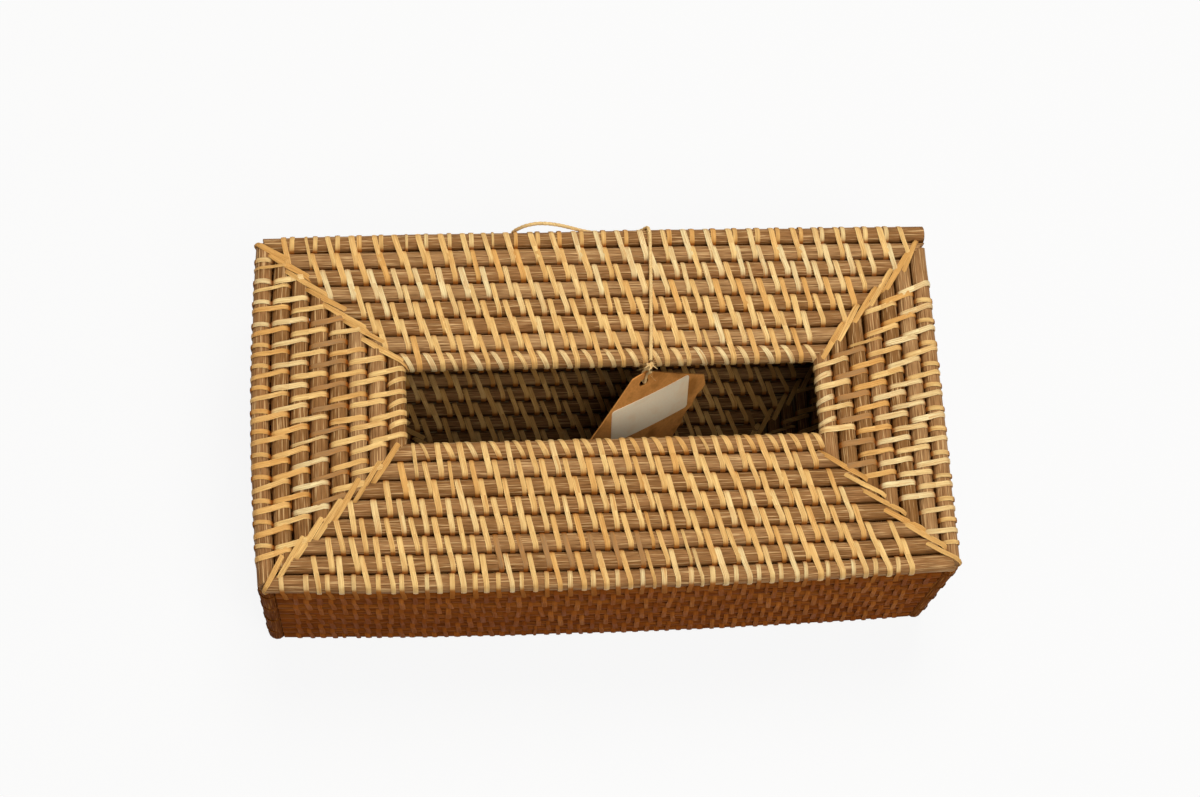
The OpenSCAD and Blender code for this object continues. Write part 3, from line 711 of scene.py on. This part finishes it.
# At the front right corner the mitre starts one row further out
FRONT_STEP = PITCH
RIM_GAP = 0.4 * MM
for node, side, step in (("top_front_canes", FRONT, FRONT_STEP), ("top_rear_canes", REAR, 0)):
    weave = Weave()
    for k in range(ROWS):
        stop, turned = COLUMN_RIGHT + k * PITCH - step, 1
        if stop < COLUMN_RIGHT:
            stop, turned = COLUMN_RIGHT - R - RIM_GAP, 0
        if k == LAST_ROW and not step:
            stop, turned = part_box(node)[1][0], 0
        weave.cane(side, k * PITCH, COLUMN_LEFT - k * PITCH, stop, (-1, turned),
                   near=k == 0, far=k == LAST_ROW)
    weave.build(node, "cover", CANES)
for node, side, columns, step in (
    ("top_left_canes", LEFT, COLUMNS_LEFT, 0),
    ("top_right_canes", RIGHT, COLUMNS_RIGHT, FRONT_STEP),
):
    weave = Weave()
    for k in range(columns):
        half = ROW + k * PITCH
        weave.cane(side, k * PITCH, -half - step, half, (-1, 1),
                   near=k == 0, far=k == columns - 1)
    weave.build(node, "cover", CANES)

# Canes of the walls, and the corner posts that they end against
TO_POST = 0.7 * MM
for name, (side, half, *_) in WALLS.items():
    weave = Weave()
    for k in range(1, WALL_ROWS + 1):
        weave.cane(side, k * WALL_PITCH, -half - TO_POST, half + TO_POST, radius=WALL_CANE_R,
                   far=k == WALL_ROWS)
    weave.build(name + "_canes", "cover", [SHADED_WALL_CANE_FINISH, END_GRAIN])
for depth_name, sy in (("front", -1), ("rear", 1)):
    for width_name, sx in (("left", -1), ("right", 1)):
        node = f"post_{depth_name}_{width_name}"
        low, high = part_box(node)
        weave = Weave()
        weave.cane(post_side(sx, sy), 0, low[2], high[2], near=1, far=1)
        weave.build(node, "cover", [SHADED_POST_CANE_FINISH, END_GRAIN])

# Canes of the base: nested rectangles that meet on four mitres
for name, (side, first, _) in BASE.items():
    weave = Weave()
    for k in range(BASE_ROWS):
        half = first + k * BASE_PITCH
        weave.cane(side, k * BASE_PITCH, -half, half, (-1, 1), BASE_CANE_R, far=k == BASE_ROWS - 1)
    weave.build(name + "_canes", "base", [BASE_CANE_FINISH, END_GRAIN], bowed=False)

# Lacing of the top: strips over each two neighbouring canes, moved on by half from row to row
STEP_MM = FRONT_STEP / MM
TOP_LACING = {
    # side, lean at the middle and its growth per metre, then in mm the pitch, the lengths
    # left free at the two mitres, and where the strips of each row start
    "top_front_lacing": (
        FRONT, (0.20, 0.6), 9.40, (7.0, 11.0 + STEP_MM), (7.4, 2.4, 6.2, 1.3, 5.9, 1.3, 5.3)),
    "top_rear_lacing": (REAR, (-0.21, 0.3), 9.22, (4.6, 7.6), (7.1, 2.9, 8.6, 4.0, 0.0, 4.9, 1.5)),
    "top_left_lacing": (LEFT, (-0.20, 1.7), 9.40, (3.4, 3.4), (5.0, 1.0, 4.1, 8.8, 4.5, 9.3, 5.2)),
    "top_right_lacing": (
        RIGHT, (0.21, 2.9), 9.60, (7.0 - STEP_MM, 7.8), (4.2, 8.5, 3.6, 9.0, 3.9, 8.0)),
}
for node, (side, lean, pitch, free, phases) in TOP_LACING.items():
    weave = Weave()
    for k, phase in enumerate(phases):
        reach = (k + 0.5) * PITCH
        if side in (FRONT, REAR):
            low, high = COLUMN_LEFT - reach, COLUMN_RIGHT + reach
        else:
            low, high = -ROW - reach, ROW + reach
        low, high = low + free[0] * MM, high - free[1] * MM
        if side is FRONT and k == 0:
            high = COLUMN_RIGHT - PITCH
        weave.row(PAIR, side, k * PITCH, low, high, phase * MM, pitch * MM, lean,
                  near=k == 0, far=k == len(phases) - 1)
    weave.build(node, "cover", [PEEL_FINISH])

# Short wraps round the canes of the slot's rim, between the long strips
weave = Weave()
RIM_FREE = 2.5 * MM
for node, side, reach, lean in (
    ("top_front_lacing", FRONT, (COLUMN_LEFT, COLUMN_RIGHT), 0.5),
    ("top_rear_lacing", REAR, (COLUMN_LEFT, COLUMN_RIGHT), -0.55),
    ("top_left_lacing", LEFT, (-ROW, ROW), -0.4),
    ("top_right_lacing", RIGHT, (-ROW, ROW), 0.4),
):
    _, (long_lean, _), pitch, _, (phase, *_) = TOP_LACING[node]
    phase = phase * MM + pitch * MM / 2 - long_lean * PITCH / 2
    weave.row(WRAP, side, 0, reach[0] + RIM_FREE, reach[1] - RIM_FREE, phase, pitch * MM, (lean, 0),
              dull=0, span=0, near=1)
weave.build("slot_rim_wraps", "cover", [PEEL_FINISH])

# Lacing of the walls, from the top's outermost canes down, and the wraps round their feet
WALL_FREE, WALL_WIDTH, WALL_SHIFT = 2.2 * MM, 0.9, 0.48
# The first row, which shows on the top's edge cane, ends early where the photograph shows it bare
EDGE_ENDS = {"front_wall": WALL_X - WALL_FREE - 8 * MM, "right_wall": 46 * MM}
# Its share of a face that is open to view, since the top overhangs it; the rest of the face gets painted
# shade
EDGE_FACE = 0.3
foot = Weave()
for name, (side, half, lean, pitch, phase) in WALLS.items():
    weave = Weave()
    reach = half - WALL_FREE
    for k in range(WALL_ROWS):
        at = (phase + k * pitch * WALL_SHIFT) * MM
        edge = k == 0
        high = EDGE_ENDS.get(name, reach) if edge else reach
        # The first row takes the top's golden peel, the lit copy, and the other rows the wall's shaded
        # copy
        weave.row(WALL_PAIR, side, k * WALL_PITCH, -reach, high, at, pitch * MM, (lean, 0),
                  dull=0 if edge else DULL_SHARE, span=WALL_PITCH, width=WALL_WIDTH, near=edge,
                  far=k == WALL_ROWS - 1, front=EDGE_FACE if edge else 1, paint=int(edge))
    weave.build(name + "_lacing", "cover", [SHADED_WALL_PEEL_FINISH, PEEL_FINISH])
    foot.row(WRAP, side, WALL_ROWS * WALL_PITCH, -reach, reach, at + pitch * MM / 2, pitch * MM,
             (2 * lean, 0), span=0, far=1)
foot.build("foot_wraps", "cover", [SHADED_WALL_PEEL_FINISH])

# Wraps round the corner posts, in the posts' painted-shade peel and only its darker tones
POST_WRAPS, POST_LEAN, POST_TONES, POST_TIGHT = 4, 0.25, (0.05, 0.3), 0.93
for depth_name, sy in (("front", -1), ("rear", 1)):
    node = "post_wraps_" + depth_name
    low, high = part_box(node)
    first, last = low[2] + STRIP_W / 2, high[2] - STRIP_W / 2
    weave = Weave()
    for sx in (-1, 1):
        for k in range(POST_WRAPS):
            at = first + (last - first) * k / (POST_WRAPS - 1)
            weave.strip(WRAP, post_side(sx, sy), at, 0, POST_LEAN, rng.uniform(*POST_TONES),
                        span=0, stretch=POST_TIGHT, near=1, far=1)
    weave.build(node, "cover", [SHADED_POST_PEEL_FINISH])

# Strips along the mitres, one after the other like the turns of a rope
weave = Weave()
MITRE_LEAN, MITRE_STRETCH, MITRE_SPREAD, MITRE_LAST = -0.33, 1.62, (0.94, 1.06), 1.25
MITRE_WIDTH, MITRE_NARROWING, MITRE_STRAYS = 1.02, 0.3, 0.2 * MM
MITRE_TONES, BASE_MITRE_TONES = (0.05, 0.6), (0.05, 0.9)
for corner_x, sx, columns in ((COLUMN_LEFT, -1, COLUMNS_LEFT), (COLUMN_RIGHT, 1, COLUMNS_RIGHT)):
    for sy in (-1, 1):
        corner_y = sy * ROW - (FRONT_STEP if sx > 0 > sy else 0)
        side = mitre_side((corner_x, corner_y, TOP), sx, sy)
        for k in range(columns - 1):
            last = k == columns - 2
            stretch = MITRE_LAST if last else MITRE_STRETCH * rng.uniform(*MITRE_SPREAD)
            weave.strip(PAIR, side, rng.normal(0, MITRE_STRAYS), k * PITCH * DIAGONAL, MITRE_LEAN,
                        rng.uniform(*MITRE_TONES), width=MITRE_WIDTH, stretch=stretch,
                        narrowing=MITRE_NARROWING, near=k == 0, far=1)
weave.build("top_mitre_strips", "cover", [MITRE_FINISH])

# Lacing and mitre strips of the base
BASE_STITCH, BASE_FREE = 9.6 * MM, 4.5 * MM
for name, (side, first, lean) in BASE.items():
    weave = Weave()
    start = -1 if name == "base_front" else 0
    for k in range(start, BASE_ROWS - 1):
        reach = first + max(k + 0.5, 0) * BASE_PITCH - BASE_FREE
        weave.row(BASE_PAIR, side, k * BASE_PITCH, -reach, reach, k * BASE_STITCH / 2, BASE_STITCH,
                  (lean, 0), span=BASE_PITCH, radius=BASE_CANE_R, far=k == BASE_ROWS - 2)
    weave.build(name + "_lacing", "base", [BASE_PEEL_FINISH], bowed=False)
weave = Weave()
for sx in (-1, 1):
    for sy in (-1, 1):
        side = mitre_side((sx * BASE_COLUMN, sy * BASE_ROW, BASE_Z), sx, sy)
        for k in range(BASE_ROWS - 1):
            weave.strip(BASE_PAIR, side, 0, k * BASE_PITCH * DIAGONAL, MITRE_LEAN,
                        rng.uniform(*BASE_MITRE_TONES), span=BASE_PITCH, radius=BASE_CANE_R,
                        stretch=MITRE_LAST, narrowing=MITRE_NARROWING)
weave.build("base_mitre_strips", "base", [BASE_PEEL_FINISH], bowed=False)

# Tag: a kraft card with clipped corners and a hole, bent a little, and its bare sticker
CARD = Matrix((
    (0.87794, -0.03071, 0.47778, 0.0178),
    (0.45703, 0.35105, -0.81724, 0.0118),
    (-0.14263, 0.93585, 0.32224, 0.0648),
    (0, 0, 0, 1),
))
CARD_W, CARD_H, CARD_T, CARD_CLIP = 48 * MM, 45 * MM, 0.6 * MM, 5 * MM
CARD_CORNER, CARD_ANGLE = (-2.6 * MM, 8.9 * MM), math.radians(-35.5)
HOLE_D = 4.5 * MM
STICKER, STICKER_T, STICKER_AT = (39 * MM, 20.8 * MM), 0.2 * MM, (-15.3 * MM, -30.6 * MM)
STICKER_CORNER, STICKER_GAP = 1.5 * MM, 0.02 * MM
CARD_BEND = math.radians(9)
CUT_STEP = 3.1 * MM
# The torn right edge: how far below the top each point lies and how far in it is torn, in mm
CARD_TEAR = ((8, 0), (10, 1.2), (14, 1.0), (16.5, 0.3), (19, 1.4), (23, 1.2), (26, 0))
CLOSE = 0.1 * MM


def crosscut(width):
    """Cuts everything in edit mode by upright planes, so that it can bend."""
    steps = int(width / CUT_STEP)
    for normal in ((1, 0, 0), (0, 1, 0)):
        for i in range(-steps, steps + 1):
            bpy.ops.mesh.select_all(action="SELECT")
            bpy.ops.mesh.bisect(plane_co=[n * i * CUT_STEP for n in normal], plane_no=normal)


bpy.ops.mesh.primitive_plane_add(size=1, location=(0, 0, 0))
card = bpy.context.object
card.name = "kraft_tag"
card.scale = (CARD_W, CARD_H, 1)
bpy.ops.object.transform_apply()
bpy.ops.object.mode_set(mode="EDIT")
for sx in (-1, 1):
    for sy in (-1, 1):
        bpy.ops.mesh.select_all(action="SELECT")
        corner = (sx * (CARD_W - CARD_CLIP) / 2, sy * (CARD_H - CARD_CLIP) / 2, 0)
        bpy.ops.mesh.bisect(plane_co=corner, plane_no=(sx, sy, 0), clear_outer=True)
for down, _ in CARD_TEAR:
    bpy.ops.mesh.select_all(action="SELECT")
    bpy.ops.mesh.bisect(plane_co=(0, CARD_H / 2 - down * MM, 0), plane_no=(0, 1, 0))
for down, torn in CARD_TEAR:
    at_y = CARD_H / 2 - down * MM
    choose(card, "verts", lambda v: v.co.x > CARD_W / 2 - CLOSE and abs(v.co.y - at_y) < CLOSE)
    bpy.ops.transform.translate(value=(-torn * MM, 0, 0))
bpy.ops.mesh.select_all(action="SELECT")
bpy.ops.mesh.extrude_region_move(TRANSFORM_OT_translate={"value": (0, 0, CARD_T)})
bpy.ops.mesh.select_all(action="SELECT")
bpy.ops.transform.translate(value=(CARD_W / 2, -CARD_H / 2, -CARD_T / 2))
bpy.ops.mesh.normals_make_consistent(inside=False)
bpy.ops.object.mode_set(mode="OBJECT")
card.rotation_euler = (0, 0, CARD_ANGLE)
card.location = (*CARD_CORNER, 0)
bpy.ops.object.transform_apply()
bpy.ops.mesh.primitive_cylinder_add(vertices=24, radius=HOLE_D / 2, depth=4 * CARD_T, location=(0, 0, 0))
punch = bpy.context.object
hole = card.modifiers.new("hole", "BOOLEAN")
hole.operation = "DIFFERENCE"
hole.object = punch
bpy.context.view_layer.objects.active = card
bpy.ops.object.modifier_apply(modifier="hole")
bpy.data.objects.remove(punch)
activate(card)
bpy.ops.object.mode_set(mode="EDIT")
crosscut(1.5 * CARD_W)
bpy.ops.object.mode_set(mode="OBJECT")
card.data.materials.clear()
card.data.materials.append(CARD_FINISH)

sticker_middle = [a + b / 2 for a, b in zip(STICKER_AT, STICKER)]
bpy.ops.mesh.primitive_plane_add(size=1, location=(*sticker_middle, 0))
sticker = bpy.context.object
sticker.name = "blank_sticker"
sticker.scale = (*STICKER, 1)
bpy.ops.object.transform_apply()
bpy.ops.object.mode_set(mode="EDIT")
bpy.ops.mesh.bevel(offset=STICKER_CORNER, affect="VERTICES", segments=4)
bpy.ops.mesh.select_all(action="SELECT")
bpy.ops.mesh.extrude_region_move(TRANSFORM_OT_translate={"value": (0, 0, STICKER_T)})
bpy.ops.mesh.select_all(action="SELECT")
bpy.ops.transform.translate(value=(0, 0, CARD_T / 2 + STICKER_GAP))
bpy.ops.mesh.normals_make_consistent(inside=False)
crosscut(1.5 * CARD_W)
bpy.ops.object.mode_set(mode="OBJECT")
sticker.data.materials.append(STICKER_FINISH)

card.select_set(True)
bpy.context.view_layer.objects.active = card
bpy.ops.object.join()
card.rotation_euler = (math.pi / 2, 0, 0)
bpy.ops.object.transform_apply()
curl = card.modifiers.new("curl", "SIMPLE_DEFORM")
curl.deform_method = "BEND"
curl.deform_axis = "Z"
curl.angle = CARD_BEND
bpy.ops.object.modifier_apply(modifier="curl")
card.rotation_euler = (-math.pi / 2, 0, 0)
bpy.ops.object.transform_apply()
bpy.ops.object.mode_set(mode="EDIT")
bpy.ops.mesh.separate(type="MATERIAL")
bpy.ops.object.mode_set(mode="OBJECT")
card, sticker = sorted(
    bpy.context.selected_objects, key=lambda o: o.data.materials[0].name != CARD_FINISH.name)
for piece, name, slot, node in (
    (card, "kraft_tag", "card", "tag_card"),
    (sticker, "blank_sticker", "sticker", "tag_sticker"),
):
    piece.name = name
    activate(piece)
    piece.matrix_world = CARD
    bpy.ops.object.transform_apply()
    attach(piece, "tag")
    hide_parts(node)


# Twine: two plies twisted together, swept along its route
def swept(line, radius, sides, twist=0.0, lobes=0.0, taper=0.0):
    """A closed tube along a line: points, faces and a map in centimetres."""
    line = np.array(line)
    heading = np.gradient(line, axis=0)
    heading /= np.linalg.norm(heading, axis=1)[:, None]
    askew = (0.3, 0.2, 0.9)
    side = np.cross(heading[0], askew)
    points, spots, gone = [], [], 0.0
    for i, (at, ahead) in enumerate(zip(line, heading)):
        if i:
            gone += np.linalg.norm(at - line[i - 1])
        side = side - ahead * (side @ ahead)
        side /= np.linalg.norm(side)
        up = np.cross(ahead, side)
        thin = 1 - taper * i / (len(line) - 1)
        for j in range(sides):
            angle = 2 * math.pi * j / sides
            ply = 1 - lobes * (1 - abs(math.cos(angle - twist * gone)))
            points.append(at + radius * thin * ply * (math.cos(angle) * side + math.sin(angle) * up))
            spots.append((gone * CM_IN_M, (angle - twist * gone) * radius * CM_IN_M))
    count = len(line)
    faces, uv = [], []
    for i in range(count - 1):
        for j in range(sides):
            k = (j + 1) % sides
            faces.append([i * sides + j, i * sides + k, (i + 1) * sides + k, (i + 1) * sides + j])
            turn = np.array([0, 2 * math.pi * radius * CM_IN_M]) if k == 0 else np.zeros(2)
            a, b, c, d = (np.array(spots[v]) for v in faces[-1])
            uv += [a, b + turn, c + turn, d]
    for first, ring in ((0, range(sides - 1, -1, -1)), ((count - 1) * sides, range(sides))):
        faces.append([first + j for j in ring])
        uv += [np.array(spots[first + j]) for j in ring]
    return np.array(points), faces, np.array(uv)


def tube_piece(name, parts, material):
    """One mesh of several closed tubes."""
    points, faces, uv, count = [], [], [], 0
    for tube_points, tube_faces, tube_uv in parts:
        faces += [[v + count for v in f] for f in tube_faces]
        points.append(tube_points)
        uv.append(tube_uv)
        count += len(tube_points)
    mesh = bpy.data.meshes.new(name)
    mesh.from_pydata(np.concatenate(points).tolist(), [], faces)
    mesh.uv_layers.new(name="grain").data.foreach_set("uv", np.concatenate(uv).ravel())
    mesh.polygons.foreach_set("use_smooth", [True] * len(mesh.polygons))
    mesh.materials.append(material)
    obj = bpy.data.objects.new(name, mesh)
    bpy.context.collection.objects.link(obj)
    return obj


TWIST = 2 * math.pi / (4.2 * MM)
string_line = smooth_line(STRING_ROUTE_MM, 10) * MM
STRING_LOBES, KNOT_LOBES = 0.22, 0.2
string = tube_piece(
    "twine_string", [swept(string_line, STRING_D / 2, 10, TWIST, STRING_LOBES)], TWINE_FINISH)
KNOT_AT = np.array([19.6, 14.5, 76.6]) * MM
KNOT_SIZE, KNOT_R, TAIL_R, HAIR_R = 0.42 * MM, 0.5 * MM, 0.42 * MM, 0.07 * MM
TAILS_MM = ((-2.6, -1.6, 0.8), (2.8, -1.8, 0.4), (-0.6, -3.0, -0.6))
HAIRS, HAIRS_MM = 18, (2.5, 8.5)
turn = np.linspace(0, 2 * math.pi, 61)
loops = np.stack([
    np.sin(turn) + 2 * np.sin(2 * turn), np.cos(turn) - 2 * np.cos(2 * turn), -np.sin(3 * turn)], -1)
knot_parts = [swept(KNOT_AT + loops * KNOT_SIZE, KNOT_R, 8, TWIST, KNOT_LOBES)]
for reach in TAILS_MM:
    tail = smooth_line([(0, 0, 0.6), np.array(reach) * 0.5 + (0, 0, 0.9), reach], 6) * MM
    knot_parts.append(swept(KNOT_AT + tail, TAIL_R, 6, TWIST, KNOT_LOBES, taper=0.55))
for _ in range(HAIRS):
    way = rng.normal(0, 1, 3)
    way[2] = abs(way[2]) * 0.25 + 0.1
    way /= np.linalg.norm(way)
    bend = rng.normal(0, 0.5, 3)
    reach = rng.uniform(*HAIRS_MM)
    hair = smooth_line([(0, 0, 0), way * reach * 0.5 + 1.6 * bend, way * reach], 5) * MM
    knot_parts.append(swept(KNOT_AT + hair, HAIR_R, 4, taper=0.5))
knot = tube_piece("twine_knot", knot_parts, TWINE_FINISH)
tie_line = smooth_line(TIE_ROUTE_MM, 8) * MM
tie_line = np.array([CARD @ Vector(p) for p in tie_line])
tie = tube_piece("twine_tie", [swept(tie_line, TIE_D / 2, 8, TWIST, KNOT_LOBES)], TWINE_FINISH)
for piece, body, node in (
    (string, "cover", "tag_string"),
    (knot, "cover", "string_knot"),
    (tie, "tag", "tag_tie"),
):
    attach(piece, body)
    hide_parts(node)

# Floor, light and world
bpy.ops.mesh.primitive_plane_add(size=8, location=(0, 0, 0))
floor = bpy.context.object
floor.name = "floor"


def seen_directly(tree):
    """1 for rays from the camera, in reflections and through glass, 0 for those that light."""
    rays = wire(tree, "LightPath").outputs
    seen = maths(tree, "MAXIMUM", rays["Is Camera Ray"], rays["Is Glossy Ray"])
    return maths(tree, "MAXIMUM", seen, rays["Is Transmission Ray"])


# The floor: mostly plain white beside the cover; under it painted dark, as painted shade where the floor
# would shine through the weave
WHITE_SHARE, WHITE_LEVEL, FADE = 0.93, 0.96, 0.012
PAINTED_SHADE_FLOOR, WHITE_FLOOR, LIT_FLOOR = (0.3, 0.2, 0.1, 1), (0.95, 0.95, 0.96, 1), (0.5, 0.46, 0.42, 1)
floor_finish = bpy.data.materials.new("white_floor")
floor_finish.use_nodes = True
tree = floor_finish.node_tree
tree.nodes.remove(tree.nodes["Principled BSDF"])
paint = wire(tree, "BsdfDiffuse", {"Color": LIT_FLOOR}).outputs[0]
white = wire(tree, "Emission", {"Color": (1, 1, 1, 1), "Strength": WHITE_LEVEL}).outputs[0]
place = wire(tree, "SeparateXYZ", {0: wire(tree, "TexCoord").outputs["Object"]}).outputs
beside_x = maths(tree, "SUBTRACT", maths(tree, "ABSOLUTE", place[0]), COVER_X)
beside_y = maths(tree, "SUBTRACT", maths(tree, "ABSOLUTE", place[1]), COVER_Y)
beside = remap(tree, maths(tree, "MAXIMUM", beside_x, beside_y), -FADE, 0.0, 0, WHITE_SHARE)
# Painted shade: dark brown under the cover, white beside it
plain = mix(tree, remap(tree, beside, 0, WHITE_SHARE), PAINTED_SHADE_FLOOR, WHITE_FLOOR)
lit = wire(tree, "BsdfDiffuse", {"Color": plain}).outputs[0]
shown = wire(tree, "MixShader", {0: beside, 1: lit, 2: white}).outputs[0]
surface = wire(tree, "MixShader", {0: seen_directly(tree), 1: paint, 2: shown}).outputs[0]
tree.links.new(surface, tree.nodes["Material Output"].inputs["Surface"])
floor.data.materials.append(floor_finish)


def area_light(name, location, size, power, colour):
    bpy.ops.object.light_add(type="AREA", location=location)
    lamp = bpy.context.object
    lamp.name = name
    lamp.data.shape = "DISK"
    lamp.data.size = size
    lamp.data.energy = power
    lamp.data.color = colour
    lamp.rotation_euler = Vector(location).to_track_quat("Z", "Y").to_euler()


area_light("key_light", (0.1, 0.65, 1.45), 0.9, 15.8, (1, 0.97, 0.9))
area_light("fill_light", (0.35, -0.75, 1.4), 1.0, 13.2, (1, 0.97, 0.92))
world = bpy.data.worlds.new("studio")
bpy.context.scene.world = world
world.use_nodes = True
tree = world.node_tree
dim = wire(tree, "Background", {"Color": (1, 0.98, 0.95, 1), "Strength": 0.2}).outputs[0]
bright = wire(tree, "Background", {"Color": (1, 1, 1, 1), "Strength": 1.0}).outputs[0]
sky = wire(tree, "MixShader", {0: seen_directly(tree), 1: dim, 2: bright}).outputs[0]
tree.links.new(sky, tree.nodes["World Output"].inputs["Surface"])
